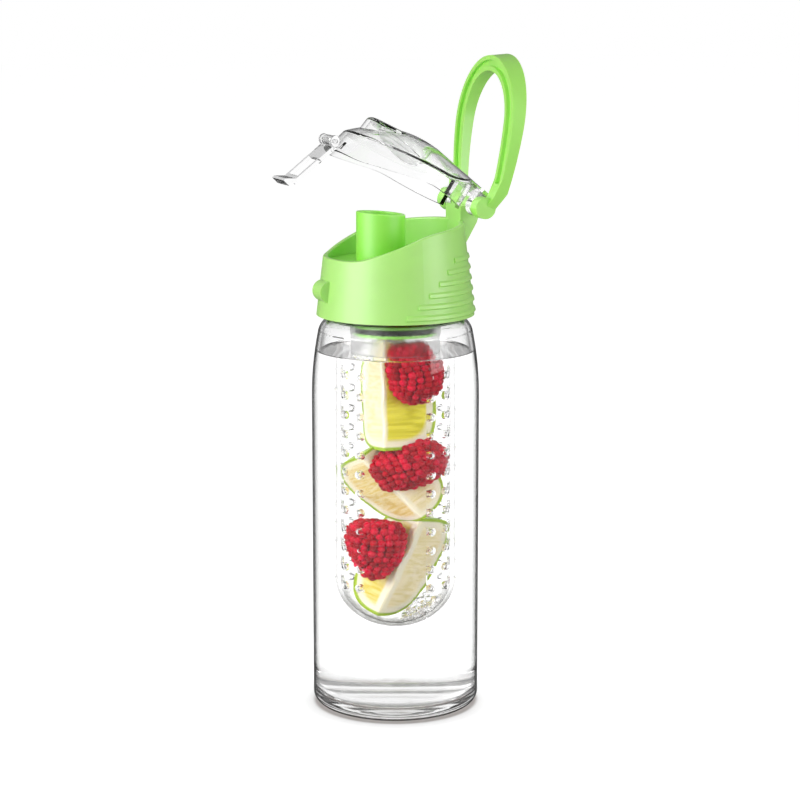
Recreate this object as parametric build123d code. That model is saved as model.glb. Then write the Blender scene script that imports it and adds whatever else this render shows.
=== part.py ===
from build123d import *
import os
from math import atan, cos, radians, sin, tan

# Frame: +Z up, origin in the middle of the ring that the bottle stands on.
# The front of the cap, with the catch, faces -Y, and the hinge is at the back, +Y.
# All lengths are in millimetres and all angles in degrees.

# Fits and helpers
run_gap = 0.05          # shaft in a hole
part_gap = 0.3          # between parts that move past each other
seat_gap = 0.1          # between parts that are pushed together
cut_over = 2.0          # how far a cutting tool runs past what it cuts
reach = 80.0            # half size of a tool that is wider than the bottle

# Bottle
body_radius = 36.5
body_wall = 1.8
foot_round = 5.0
foot_ring_inset = 9.5
push_up_height = 2.2
push_up_sag_share = 0.25
floor_height = 5.2
shoulder_height = 173.4
shoulder_length = 20.7
shoulder_draw_in = 4.3
shoulder_bend = 146.0
shoulder_round = 8.2
neck_inset = 11.0       # how much narrower the neck is than the body
neck_wall = 2.0
neck_length = 19.6
neck_root_round = 1.2
foot_ring_radius = body_radius - foot_ring_inset
shoulder_start_height = shoulder_height - shoulder_length
shoulder_top_radius = body_radius - shoulder_draw_in
neck_radius = body_radius - neck_inset
neck_height = shoulder_height + neck_length

# Screw thread between bottle and cap, two starts
thread_lead = 9.0
thread_starts = 2
thread_turns = 0.6
thread_depth = 1.2
thread_root_width = 2.0
thread_crest_width = 1.1
thread_sink = 0.4       # how far a ridge reaches into its wall
thread_start_drop = 13.4
thread_start_height = neck_height - thread_start_drop

# Neck seal
neck_seal_thickness = 2.3
neck_seal_lip = 0.2
neck_seal_inner_radius = neck_radius - neck_wall + neck_seal_lip
neck_seal_outer_radius = neck_radius + thread_depth

# Cap shell
cap_over_shoulder = 0.6
cap_inset = 2.2
cap_taper = 6.8         # lean of the cap's wall, inwards going up
cap_wall = 2.2
rim_front_rise = 4.3
rim_knee_rise = 11.2
rim_front_bend_inset = 9.3
rim_knee_y = 3.0
rim_back_rise = 7.4     # slope of the rim behind the knee
rim_front_bend_round = 18.0
rim_knee_round = 40.0
rim_edge_round = 0.6
faces_up_share = 0.5    # upright part of a normal, above which a face belongs to the rim
cap_bottom_height = shoulder_height + cap_over_shoulder
cap_bottom_radius = body_radius - cap_inset
deck_under_height = neck_height + neck_seal_thickness
rim_front_height = deck_under_height + rim_front_rise
rim_knee_height = rim_front_height + rim_knee_rise
rim_front_bend_y = rim_front_bend_inset - cap_bottom_radius

# Stepped grip ribs at the back of the cap
rib_count = 6
rib_pitch = 4.6
rib_height = 2.6
rib_depth = 0.7
rib_first_rise = 1.2
rib_half_span = 104.0
rib_span_step = 9.0
rib_first_height = cap_bottom_height + rib_first_rise

# Catch for the latch, on the front of the cap
catch_rise = 7.0
catch_height = 9.0
catch_depth = 3.5
catch_width = 10.0
catch_low_height = cap_bottom_height + catch_rise
catch_high_height = catch_low_height + catch_height

# Infuser
infuser_gap = 4.0       # between the neck's bore and the infuser
infuser_wall = 1.5
infuser_bottom_height = 37.0
collar_wall = 1.9
collar_length = 28.0
collar_top_drop = 10.3
socket_height = 6.0
socket_wall = 1.5
rim_step = 1.5
hole_radius = 1.9
hole_row_pitch = 8.4
hole_first_rise = 19.0
hole_top_gap = 8.0
hole_side_angle = 68.0
hole_column_offsets = (-46.0, -21.0, 21.0, 46.0)
infuser_radius = neck_radius - neck_wall - infuser_gap
collar_bore_radius = infuser_radius - collar_wall
collar_top_height = deck_under_height - collar_top_drop
collar_bottom_height = collar_top_height - collar_length
hole_first_height = infuser_bottom_height + hole_first_rise
hole_rows = int((collar_bottom_height - hole_top_gap - hole_first_height) / hole_row_pitch) + 1

# Cap insert with deck, spout, threaded sleeve and spigot
deck_thickness = 2.0
sleeve_wall = 1.6
sleeve_rise = 1.4
flange_thickness = 1.5
spigot_gap = 0.4        # between the spigot and the collar's bore
spigot_wall = 1.3
spigot_length = 29.8
spout_inset = 6.6       # how much narrower the spout is than the spigot
spout_offset = 6.8      # how far the spout stands in front of the middle
spout_wall = 1.8
spout_rise = 23.7
spout_fall = 1.7
spout_lip_round = 0.6
seal_groove_depth = 0.6
seal_groove_rise = 1.5
seal_groove_width = 3.0
sleeve_bottom_height = cap_bottom_height + sleeve_rise
spigot_radius = collar_bore_radius - spigot_gap
spigot_bottom_height = deck_under_height - spigot_length
seal_groove_low_height = spigot_bottom_height + seal_groove_rise
spout_y = -spout_offset
spout_radius = spigot_radius - spout_inset
spout_front_height = deck_under_height + spout_rise
spout_back_height = spout_front_height - spout_fall

# Lid, drawn closed and then opened to the rest pose
lid_open_angle = 40.0
lid_wall = 1.8
roof_radius = 45.0
roof_over_spout = 10.0
roof_front_over = 4.2   # how far the roof's round front end would pass the cap
roof_edge_round = 2.4
bump_margin = 1.4       # how much wider the bump is than the spout
bump_front_over = 8.6
bump_back_over = 5.2
bump_drop = 7.5
bump_slope = 14.0
bump_edge_round = 2.0
seal_boss_margin = 1.4
seal_boss_wall = 1.4
seal_boss_lift = 0.9
seal_pad_lift = 0.15
seal_plug_gap = 0.6
seal_plug_depth = 1.0
seal_pad_rise = 4.2
roof_top_height = spout_front_height + roof_over_spout
roof_end_y = roof_radius - cap_bottom_radius - roof_front_over
bump_radius = spout_radius + bump_margin
bump_front_y = spout_y - spout_radius - bump_front_over
bump_back_y = spout_y + spout_radius + bump_back_over
bump_front_height = roof_top_height - bump_drop
seal_boss_radius = spout_radius + seal_boss_margin
seal_plug_radius = spout_radius - spout_wall - seal_plug_gap
seal_pad_top_height = spout_front_height + seal_pad_rise

# Hinge at the back of the cap
hinge_inset = 0.8
hinge_drop = 8.7
pin_radius = 1.5
post_half_width = 8.0
post_barrel_radius = 3.6
post_front_reach = 6.5
post_back_reach = 1.3
post_back_drop = 7.3
post_root_drop = 16.3
lug_width = 5.9
lug_radius = 4.3
tongue_front_reach = 15.5
tongue_back_reach = 4.5
notch_reach = 13.5
hinge_y = cap_bottom_radius - hinge_inset
hinge_height = roof_top_height - hinge_drop
post_front_y = hinge_y - post_front_reach
post_back_y = hinge_y + post_back_reach
post_back_height = hinge_height - post_back_drop
post_root_height = hinge_height - post_root_drop
lug_half_width = post_half_width + part_gap + lug_width
lug_front_y = hinge_y - lug_radius
tongue_start_y = hinge_y - tongue_front_reach
tongue_end_y = hinge_y + tongue_back_reach
notch_start_y = hinge_y - notch_reach

# Latch, drawn shut on the catch
latch_open_angle = 5.0
latch_pin_inset = 0.4
latch_pin_rise = 2.6
latch_pin_radius = 0.9
latch_barrel_radius = 2.2
latch_barrel_half_width = 4.6
ear_radius = 2.4
latch_thickness = 1.8
latch_offset = 0.5
latch_tip_drop = 4.0
latch_window_side_gap = 0.6
latch_window_top_gap = 2.0
latch_rail_width = 1.9
latch_lip_depth = 3.2
latch_lip_drop = 2.4
latch_pin_y = latch_pin_inset - cap_bottom_radius
latch_pin_height = rim_front_height + latch_pin_rise
latch_tip_height = catch_low_height - latch_tip_drop
latch_window_half_width = catch_width / 2 + latch_window_side_gap
latch_window_low_height = catch_low_height - part_gap
latch_window_high_height = catch_high_height + latch_window_top_gap
latch_half_width = latch_window_half_width + latch_rail_width

# Carry loop
loop_lean = 6.8
loop_set_back = 3.4     # how far its front face lies behind the hinge pin
loop_half_width = 29.9
loop_top = 64.8
loop_top_band = 6.6
loop_side_band = 9.0
loop_low_depth = 4.0
loop_top_depth = 8.0
loop_flare_share = 0.18
loop_bulge_share = 0.25
heel_width = 6.0
heel_radius = 4.65
heel_hole_depth = 4.2
heel_neck_rise = 5.0
heel_neck_front = 2.0
heel_neck_back = 6.6
heel_neck_round = 6.0
heel_root_back = 4.4
limb_start_rise = 13.0
limb_round = 14.0
channel_lip = 1.9
channel_depth = 1.5
channel_start = 11.0
loop_leg_inner = lug_half_width + part_gap
loop_leg_outer = loop_leg_inner + heel_width

hinge_axis = Axis((0, hinge_y, hinge_height), (-1, 0, 0))
latch_axis = Axis((0, latch_pin_y, latch_pin_height), (-1, 0, 0))
taper_slope = tan(radians(cap_taper))


def cap_radius(height):
    """Outer radius of the cap's cone at a height."""
    return cap_bottom_radius - (height - cap_bottom_height) * taper_slope


def disc(radius, low, high, y=0):
    """Upright cylinder between two heights."""
    return Pos(0, y, (low + high) / 2) * Cylinder(radius, high - low)


def ring(outer, inner, low, high, y=0):
    """Upright tube between two heights."""
    return disc(outer, low, high, y) - disc(inner, low - cut_over, high + cut_over, y)


def cross_rod(radius, half_length, y, height):
    """Cylinder along X, centred on the middle plane."""
    return Pos(0, y, height) * Rot(0, 90, 0) * Cylinder(radius, half_length + half_length)


def block(x_low, x_high, y_low, y_high, z_low, z_high):
    """Box between two corners."""
    size = (x_high - x_low, y_high - y_low, z_high - z_low)
    middle = ((x_high + x_low) / 2, (y_high + y_low) / 2, (z_high + z_low) / 2)
    return Pos(*middle) * Box(*size)


def side_prism(outline, half_width):
    """A closed outline in the YZ plane, given a thickness on both sides of the middle."""
    return extrude(outline, amount=half_width, both=True)


def yz_polygon(*points):
    """Flat face through points given as (y, z)."""
    return make_face(Polyline(*[(0, y, z) for y, z in points], close=True))


def cone_solid(inset, low, high):
    """The cap's cone, drawn in by a wall, between two heights."""
    low_radius = cap_radius(low) - inset
    high_radius = cap_radius(high) - inset
    outline = Polyline(
        (0, 0, low),
        (low_radius, 0, low),
        (high_radius, 0, high),
        (0, 0, high),
        close=True,
    )
    return revolve(make_face(outline), Axis.Z)


def one_solid(shape):
    """The single solid of a shape, so that a stray piece is noticed."""
    solids = shape.solids()
    if len(solids) != 1:
        raise ValueError(f"expected one solid, found {len(solids)}")
    return solids[0]


def thread_ridges(wall_radius, outward, start_height):
    """Helical ridges on a wall, pointing out on a neck and in on a sleeve."""
    sign = 1 if outward else -1
    root = wall_radius - sign * thread_sink
    crest = wall_radius + sign * thread_depth
    root_half = thread_root_width / 2
    crest_half = thread_crest_width / 2
    path = Helix(pitch=thread_lead, height=thread_lead * thread_turns, radius=wall_radius)
    profile = Polyline(
        (root, 0, -root_half),
        (crest, 0, -crest_half),
        (crest, 0, crest_half),
        (root, 0, root_half),
        close=True,
    )
    ridge = sweep(make_face(profile), path=path, is_frenet=True)
    turn = 360 / thread_starts
    return [Pos(0, 0, start_height) * Rot(0, 0, turn * i) * ridge for i in range(thread_starts)]


def bottle_half_profile(inset):
    """Radii and heights of the bottle's wall, drawn in by a wall thickness."""
    lean = atan((body_radius - shoulder_top_radius) / (shoulder_height - shoulder_start_height))
    side = body_radius - inset
    bend_height = shoulder_start_height - inset * tan(lean / 2)
    top = shoulder_height - inset
    corner = side - (top - bend_height) * tan(lean)
    return side, bend_height, corner, top


def make_bottle_body():
    side, bend, corner, top = bottle_half_profile(0)
    outer = FilletPolyline(
        (foot_ring_radius, 0, 0),
        (side, 0, 0),
        (side, 0, bend),
        (corner, 0, top),
        (neck_radius, 0, top),
        (neck_radius, 0, neck_height),
        radius=(foot_round, shoulder_bend, shoulder_round, neck_root_round),
    )
    in_side, in_bend, in_corner, in_top = bottle_half_profile(body_wall)
    bore = neck_radius - neck_wall
    inner = FilletPolyline(
        (bore, 0, neck_height),
        (bore, 0, in_top),
        (in_corner, 0, in_top),
        (in_side, 0, in_bend),
        (in_side, 0, floor_height),
        (0, 0, floor_height),
        radius=(
            neck_root_round + neck_wall,
            shoulder_round - body_wall,
            shoulder_bend - body_wall,
            foot_round,
        ),
    )
    lip = Line((neck_radius, 0, neck_height), (bore, 0, neck_height))
    middle = Line((0, 0, floor_height), (0, 0, push_up_height))
    sag = push_up_height * push_up_sag_share
    push_up = ThreePointArc(
        (0, 0, push_up_height),
        (foot_ring_radius / 2, 0, push_up_height - sag),
        (foot_ring_radius, 0, 0),
    )
    wall = make_face([*outer.edges(), lip, *inner.edges(), middle, push_up])
    body = revolve(wall, Axis.Z)
    for ridge in thread_ridges(neck_radius, True, thread_start_height):
        body = body + ridge
    return one_solid(body)


def rim_cutter(lift):
    """Everything above the cap's slanted rim, raised by a lift."""
    back_y = reach
    back_height = rim_knee_height + (back_y - rim_knee_y) * tan(radians(rim_back_rise))
    line = FilletPolyline(
        (0, -reach, rim_front_height + lift),
        (0, rim_front_bend_y, rim_front_height + lift),
        (0, rim_knee_y, rim_knee_height + lift),
        (0, back_y, back_height + lift),
        radius=(rim_front_bend_round, rim_knee_round),
    )
    top = roof_top_height + reach
    cap = Polyline(
        (0, back_y, back_height + lift),
        (0, back_y, top),
        (0, -reach, top),
        (0, -reach, rim_front_height + lift),
    )
    return side_prism(make_face([*line.edges(), *cap.edges()]), reach)


def rim_edges(shape):
    """Edges between the upward faces of a wall's rim and the wall itself."""
    upward = [face for face in shape.faces() if face.normal_at(face.center()).Z > faces_up_share]
    edges = [edge for face in upward for edge in face.edges()]
    return [edge for edge in edges if sum(edge.is_same(other) for other in edges) == 1]


def make_grip_ribs():
    """Stepped ribs round the back of the cap, each shorter than the one below."""
    ribs = []
    for i in range(rib_count):
        low = rib_first_height + rib_pitch * i
        high = low + rib_height
        outline = Polyline(
            (cap_radius(low) - cap_wall / 2, 0, low),
            (cap_radius(low), 0, low),
            (cap_radius(low) + rib_depth, 0, low + rib_depth),
            (cap_radius(high) + rib_depth, 0, high - rib_depth),
            (cap_radius(high), 0, high),
            (cap_radius(high) - cap_wall / 2, 0, high),
            close=True,
        )
        half = rib_half_span - rib_span_step * i
        rib = revolve(make_face(outline), Axis.Z, revolution_arc=half + half)
        ribs.append(Rot(0, 0, 90 - half) * rib)
    return ribs


def make_catch():
    """Rounded nub on the front of the cap that the latch snaps over."""
    middle = (catch_low_height + catch_high_height) / 2
    sink = cap_wall / 2
    nose = ThreePointArc(
        (0, -cap_radius(catch_low_height), catch_low_height),
        (0, -cap_radius(middle) - catch_depth, middle),
        (0, -cap_radius(catch_high_height), catch_high_height),
    )
    back = Polyline(
        (0, -cap_radius(catch_high_height), catch_high_height),
        (0, -cap_radius(catch_high_height) + sink, catch_high_height),
        (0, -cap_radius(catch_low_height) + sink, catch_low_height),
        (0, -cap_radius(catch_low_height), catch_low_height),
    )
    return side_prism(make_face([nose, *back.edges()]), catch_width / 2)


def make_hinge_post():
    """Post at the back of the cap that carries the hinge pin."""
    root_y = cap_radius(post_root_height) - cap_wall / 2
    outline = yz_polygon(
        (post_front_y, post_root_height),
        (root_y, post_root_height),
        (post_back_y, post_back_height),
        (hinge_y + post_barrel_radius, hinge_height),
        (post_front_y, hinge_height),
    )
    post = side_prism(outline, post_half_width)
    return post + cross_rod(post_barrel_radius, post_half_width, hinge_y, hinge_height)


def make_cap_shell():
    top = rim_knee_height + reach * tan(radians(rim_back_rise))
    shell = cone_solid(0, cap_bottom_height, top) - cone_solid(
        cap_wall, cap_bottom_height - cut_over, top + cut_over
    )
    shell = shell - rim_cutter(0)
    shell = fillet(rim_edges(shell), rim_edge_round)
    for rib in make_grip_ribs():
        shell = shell + rib
    shell = shell + make_catch()
    shell = shell + make_hinge_post()
    pin_hole = cross_rod(pin_radius, post_half_width + cut_over, hinge_y, hinge_height)
    return one_solid(shell - pin_hole)


def make_cap_insert():
    """Deck, drinking spout, threaded sleeve and the spigot for the infuser, in one moulding."""
    deck_top = deck_under_height + deck_thickness
    sleeve_bore = neck_radius + thread_depth + part_gap
    deck = cone_solid(cap_wall + seat_gap, deck_under_height, deck_top)
    sleeve = ring(sleeve_bore + sleeve_wall, sleeve_bore, sleeve_bottom_height, deck_top)
    flange = cone_solid(
        cap_wall + seat_gap, sleeve_bottom_height, sleeve_bottom_height + flange_thickness
    )
    flange = flange - disc(sleeve_bore, sleeve_bottom_height - cut_over, deck_top)
    spigot = disc(spigot_radius, spigot_bottom_height, deck_top)
    spout = disc(spout_radius, deck_under_height, spout_front_height, spout_y)
    insert = deck + sleeve + flange + spigot + spout
    insert = insert - disc(
        spigot_radius - spigot_wall, spigot_bottom_height - cut_over, deck_under_height
    )
    insert = insert - disc(
        spout_radius - spout_wall, spigot_bottom_height, spout_front_height + cut_over, spout_y
    )
    groove_high = seal_groove_low_height + seal_groove_width
    insert = insert - ring(
        spigot_radius + cut_over,
        spigot_radius - seal_groove_depth,
        seal_groove_low_height,
        groove_high,
    )
    insert = insert - spout_top_cutter(0)
    lip = insert.faces().sort_by(Axis.Z)[-1]
    insert = fillet(lip.edges(), spout_lip_round)
    between_starts = thread_lead / thread_starts / 2
    for ridge in thread_ridges(sleeve_bore, False, thread_start_height + between_starts):
        insert = insert + ridge
    return one_solid(insert)


def spout_slope():
    """Slope of the spout's top, falling towards the back."""
    return (spout_front_height - spout_back_height) / (spout_radius + spout_radius)


def spout_top_cutter(lift):
    """Everything above the slanted top of the spout, raised by a lift."""
    front_y = -reach
    front = spout_front_height + (spout_y - spout_radius - front_y) * spout_slope() + lift
    back = spout_back_height - (reach - spout_y - spout_radius) * spout_slope() + lift
    top = roof_top_height + reach
    outline = yz_polygon((front_y, front), (reach, back), (reach, top), (front_y, top))
    return side_prism(outline, reach)


def make_neck_seal():
    return one_solid(
        ring(neck_seal_outer_radius, neck_seal_inner_radius, neck_height, deck_under_height)
    )


def make_infuser_seal():
    groove_high = seal_groove_low_height + seal_groove_width
    return one_solid(
        ring(
            collar_bore_radius - run_gap,
            spigot_radius - seal_groove_depth,
            seal_groove_low_height,
            groove_high,
        )
    )


def make_infuser_collar():
    return one_solid(
        ring(infuser_radius, collar_bore_radius, collar_bottom_height, collar_top_height)
    )


def make_infuser_basket():
    """Clear perforated tube with a round bottom and a socket that plugs into the collar."""
    bore = infuser_radius - infuser_wall
    dome_height = infuser_bottom_height + infuser_radius
    outer = disc(infuser_radius, dome_height, collar_bottom_height)
    outer = outer + Pos(0, 0, dome_height) * Sphere(infuser_radius)
    outer = outer + disc(
        collar_bore_radius, collar_bottom_height, collar_bottom_height + socket_height
    )
    inner = disc(bore, dome_height, collar_bottom_height - rim_step)
    inner = inner + Pos(0, 0, dome_height) * Sphere(bore)
    inner = inner + disc(
        collar_bore_radius - socket_wall,
        dome_height,
        collar_bottom_height + socket_height + cut_over,
    )
    basket = outer - inner
    drill = Rot(0, 90, 0) * Cylinder(hole_radius, reach)
    holes = []
    for row in range(hole_rows):
        height = hole_first_height + hole_row_pitch * row
        for offset in hole_column_offsets:
            turn = hole_side_angle + offset
            holes.append(Pos(0, 0, height) * Rot(0, 0, turn) * drill)
    return one_solid(basket - holes)


def roof_capsule(radius):
    """Long rod with a round front end that gives the lid its domed roof."""
    centre = roof_top_height - roof_radius
    turn = radians(45)
    nose = ThreePointArc(
        (0, roof_end_y - radius, centre),
        (0, roof_end_y - radius * cos(turn), centre + radius * sin(turn)),
        (0, roof_end_y, centre + radius),
    )
    rest = Polyline(
        (0, roof_end_y, centre + radius),
        (0, reach, centre + radius),
        (0, reach, centre),
        (0, roof_end_y - radius, centre),
    )
    axis = Axis((0, 0, centre), (0, 1, 0))
    return revolve(make_face([nose, *rest.edges()]), axis)


def lid_block(inset, low):
    """The lid's body as a full block: the cap's cone under a domed roof."""
    cone = Rot(0, 0, 90) * cone_solid(inset, low, roof_top_height + cut_over)
    full = cone & roof_capsule(roof_radius - inset)
    return fillet(rim_edges(full), roof_edge_round - inset)


def bump_block(inset):
    """Raised bump over the spout, as a full block that runs out into the crown."""
    radius = bump_radius - inset
    front = bump_front_y + bump_radius
    low = rim_knee_height
    plan = disc(radius, low, roof_top_height, front)
    plan = plan + block(-radius, radius, front, bump_back_y, low, roof_top_height)
    lean = radians(bump_slope)
    centre_y = bump_front_y + roof_radius * sin(lean)
    centre_height = bump_front_height - roof_radius * cos(lean)
    rod = Cylinder(roof_radius - inset, reach + reach + reach)
    sloped = Pos(0, centre_y, centre_height) * Rot(90 + bump_slope, 0, 0) * rod
    level = Pos(0, 0, roof_top_height - roof_radius) * Rot(90, 0, 0) * rod
    full = plan & sloped & level
    return fillet(rim_edges(full), bump_edge_round - inset)


def closed_lid():
    """The lid as it sits on the cap's rim."""
    low = deck_under_height
    outer = lid_block(0, low) + bump_block(0)
    inner = lid_block(lid_wall, low - cut_over) + bump_block(lid_wall)
    lid = outer - inner
    lid = lid & rim_cutter(part_gap)
    boss_low = spout_front_height + seal_boss_lift
    boss_bore = seal_boss_radius - seal_boss_wall
    boss = ring(seal_boss_radius, boss_bore, boss_low, roof_top_height, spout_y)
    half_wall = lid_wall / 2
    boss_room = lid_block(half_wall, low) + bump_block(half_wall)
    lid = lid + (boss & boss_room)
    notch_half = post_half_width + part_gap
    under_tongue = roof_top_height - lid_wall - lid_wall / 2
    notch = block(-notch_half, notch_half, notch_start_y, reach, rim_front_height, under_tongue)
    lid = lid - notch
    tongue = roof_plate(tongue_start_y, tongue_end_y)
    lugs = make_lid_lugs()
    lid = lid + tongue
    for lug in lugs:
        lid = lid + lug
    for ear in make_latch_ears():
        lid = lid + ear
    pin_hole = cross_rod(pin_radius + run_gap, reach, hinge_y, hinge_height)
    latch_hole = cross_rod(latch_pin_radius, reach, latch_pin_y, latch_pin_height)
    return one_solid(lid - pin_hole - latch_hole)


def roof_plate(y_low, y_high):
    """Strip of the roof that runs back over the hinge post."""
    centre_height = roof_top_height - roof_radius
    long_rod = Pos(0, hinge_y, centre_height) * Rot(90, 0, 0) * Cylinder(roof_radius, reach)
    under = roof_top_height - lid_wall - lid_wall / 2
    strip = block(-lug_half_width, lug_half_width, y_low, y_high, under, roof_top_height)
    return strip & long_rod


def make_lid_lugs():
    """Two knuckles that turn on the hinge pin, one on each side of the post."""
    inner = post_half_width + part_gap
    lugs = []
    for side in (-1, 1):
        low, high = sorted((side * inner, side * lug_half_width))
        rod = cross_rod(lug_radius, reach, hinge_y, hinge_height)
        under_roof = roof_top_height - lid_wall
        web = block(low, high, lug_front_y, hinge_y + lug_radius, hinge_height, under_roof)
        keep = block(low, high, -reach, reach, 0, under_roof)
        lugs.append((rod + web) & keep)
    return lugs


def make_latch_ears():
    """Two ears on the lid's front wall that hold the latch pin."""
    inner = latch_barrel_half_width + part_gap
    wall_y = -cap_radius(latch_pin_height) + lid_wall
    ears = []
    for side in (-1, 1):
        low, high = sorted((side * inner, side * latch_half_width))
        rod = cross_rod(ear_radius, reach, latch_pin_y, latch_pin_height)
        web = block(
            low,
            high,
            latch_pin_y,
            wall_y,
            latch_pin_height - ear_radius / 2,
            latch_pin_height + ear_radius,
        )
        keep = block(low, high, -reach, wall_y, 0, roof_top_height)
        ears.append((rod + web) & keep)
    return ears


def open_lid(shape):
    """Turn a closed lid part about the hinge to the rest pose."""
    return shape.rotate(hinge_axis, lid_open_angle)


def make_flip_lid():
    return open_lid(closed_lid())


def make_spout_seal():
    """Soft pad that closes the spout, held by the boss under the roof."""
    pad_radius = seal_boss_radius - seal_boss_wall - run_gap
    pad = disc(pad_radius, spout_back_height, seal_pad_top_height, spout_y)
    pad = pad & spout_top_cutter(seal_pad_lift)
    plug_low = spout_back_height - seal_plug_depth
    plug = disc(seal_plug_radius, plug_low, seal_pad_top_height, spout_y)
    plug = plug & spout_top_cutter(-seal_plug_depth)
    inset = lid_wall + seat_gap
    under_roof = lid_block(inset, rim_front_height) + bump_block(inset)
    return open_lid(one_solid((pad + plug) & under_roof))


def latch_face_y(height):
    """Where the shut latch's inner face lies at a height, in front of the cap."""
    return -cap_radius(height) - latch_offset


def make_latch_flap():
    """Clear flap whose window snaps over the catch, with a finger lip at its end."""
    top = latch_pin_height
    tip = latch_tip_height
    plate = yz_polygon(
        (latch_face_y(top), top),
        (latch_face_y(tip), tip),
        (latch_face_y(tip) - latch_thickness, tip),
        (latch_face_y(top) - latch_thickness, top),
    )
    lip = yz_polygon(
        (latch_face_y(tip), tip + latch_thickness),
        (latch_face_y(tip) - latch_lip_depth / 2, tip - latch_lip_drop),
        (latch_face_y(tip) - latch_lip_depth - latch_thickness, tip - latch_lip_drop),
        (latch_face_y(tip) - latch_lip_depth - latch_thickness, tip - latch_lip_drop / 2),
        (latch_face_y(tip) - latch_thickness, tip + latch_thickness),
    )
    flap = side_prism(plate, latch_half_width) + side_prism(lip, latch_half_width)
    side_cut = latch_barrel_half_width
    ear_room = ear_radius + part_gap
    for side in (-1, 1):
        low, high = sorted((side * side_cut, side * reach))
        rod = cross_rod(ear_room, reach, latch_pin_y, latch_pin_height)
        flap = flap - (rod & block(low, high, -reach, reach, 0, roof_top_height))
        flap = flap - block(low, high, -reach, reach, top - ear_radius / 2, top + reach)
    flap = flap + cross_rod(latch_barrel_radius, latch_barrel_half_width, latch_pin_y, latch_pin_height)
    window = block(
        -latch_window_half_width,
        latch_window_half_width,
        -reach,
        0,
        latch_window_low_height,
        latch_window_high_height,
    )
    hole = cross_rod(latch_pin_radius + run_gap, reach, latch_pin_y, latch_pin_height)
    shut = one_solid(flap - window - hole)
    return open_lid(shut.rotate(latch_axis, latch_open_angle))


def make_latch_pin():
    rod = cross_rod(latch_pin_radius, latch_half_width, latch_pin_y, latch_pin_height)
    return open_lid(one_solid(rod))


def make_hinge_pin():
    half = loop_leg_inner + heel_hole_depth - part_gap
    return one_solid(cross_rod(pin_radius, half, hinge_y, hinge_height))


def loop_plane(behind):
    """Upright frame of the loop: X across, Y up the loop, Z towards the front, some way behind the hinge pin."""
    lean = radians(loop_lean)
    along = Vector(0, cos(lean), -sin(lean))
    return Plane(
        origin=Vector(0, hinge_y, hinge_height) + along * behind, x_dir=(1, 0, 0), z_dir=-along
    )


def loop_outline(half_width, top, leg, grow):
    """Tall arch with legs that draw in towards the hinge, in the loop's own plane."""
    wide = half_width + grow
    foot = leg + grow
    crown = top + grow
    spring = crown - wide
    waist = spring / 2
    bulge = (wide - foot) * loop_bulge_share
    arch = ThreePointArc((-wide, spring), (0, crown), (wide, spring))
    right = ThreePointArc((wide, spring), (wide - bulge, waist), (foot, 0))
    left = ThreePointArc((-foot, 0), (bulge - wide, waist), (-wide, spring))
    base = Line((foot, 0), (-foot, 0))
    return make_face([arch, right, base, left])


def flared_arch(half_width, top, leg, grow):
    """The arch from ahead of the hinge pin to behind the loop, wider the further back it is."""
    ahead = loop_outline(half_width, top, leg, grow - reach * loop_flare_share / 2)
    behind = loop_outline(half_width, top, leg, grow + reach * loop_flare_share / 2)
    near = loop_plane(loop_set_back - reach / 2) * ahead
    far = loop_plane(loop_set_back + reach / 2) * behind
    return loft([near, far])


def loop_side():
    """The loop seen from the side: a slim limb behind the heel that deepens towards the top."""
    over = loop_top + cut_over
    back = loop_set_back + loop_low_depth
    line = FilletPolyline(
        (0, 0, 0),
        (0, heel_neck_front, heel_neck_rise),
        (0, loop_set_back, limb_start_rise),
        (0, loop_set_back, over),
        radius=(heel_neck_round, limb_round),
    )
    top = Line((0, loop_set_back, over), (0, loop_set_back + loop_top_depth, over))
    deepening = loop_top_depth - loop_low_depth
    rear = ThreePointArc(
        (0, loop_set_back + loop_top_depth, over),
        (0, back + deepening / 4, over / 2),
        (0, back, heel_neck_rise + cut_over),
    )
    root = Polyline(
        (0, back, heel_neck_rise + cut_over),
        (0, heel_neck_back, heel_neck_rise),
        (0, heel_root_back, 0),
        (0, 0, 0),
    )
    outline = make_face([*line.edges(), top, rear, *root.edges()])
    lean = Pos(0, hinge_y, hinge_height) * Rot(-loop_lean, 0, 0)
    return lean * side_prism(outline, reach)


def loop_channel():
    """Recess in the loop's front face, between an outer and an inner lip."""
    inner_half = loop_half_width - loop_side_band
    inner_top = loop_top - loop_top_band
    outer = flared_arch(loop_half_width, loop_top, loop_leg_outer, -channel_lip)
    inner = flared_arch(inner_half, inner_top, loop_leg_inner, channel_lip)
    deep = block(
        -reach, reach, loop_set_back - reach, loop_set_back + channel_depth, channel_start, reach
    )
    lean = Pos(0, hinge_y, hinge_height) * Rot(-loop_lean, 0, 0)
    return (outer - inner) & (lean * deep)


def make_carry_loop():
    """Flared carry loop with a channel along its front face, on two round heels."""
    inner_half = loop_half_width - loop_side_band
    inner_top = loop_top - loop_top_band
    outer = flared_arch(loop_half_width, loop_top, loop_leg_outer, 0)
    inner = flared_arch(inner_half, inner_top, loop_leg_inner, 0)
    loop = (outer - inner) & loop_side()
    loop = loop - loop_channel()
    for side in (-1, 1):
        low, high = sorted((side * loop_leg_inner, side * loop_leg_outer))
        heel = cross_rod(heel_radius, reach, hinge_y, hinge_height)
        keep = block(low, high, -reach, reach, 0, hinge_height + reach)
        loop = loop + (heel & keep)
    hole = cross_rod(pin_radius + run_gap, loop_leg_inner + heel_hole_depth, hinge_y, hinge_height)
    return one_solid(loop - hole)


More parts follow.
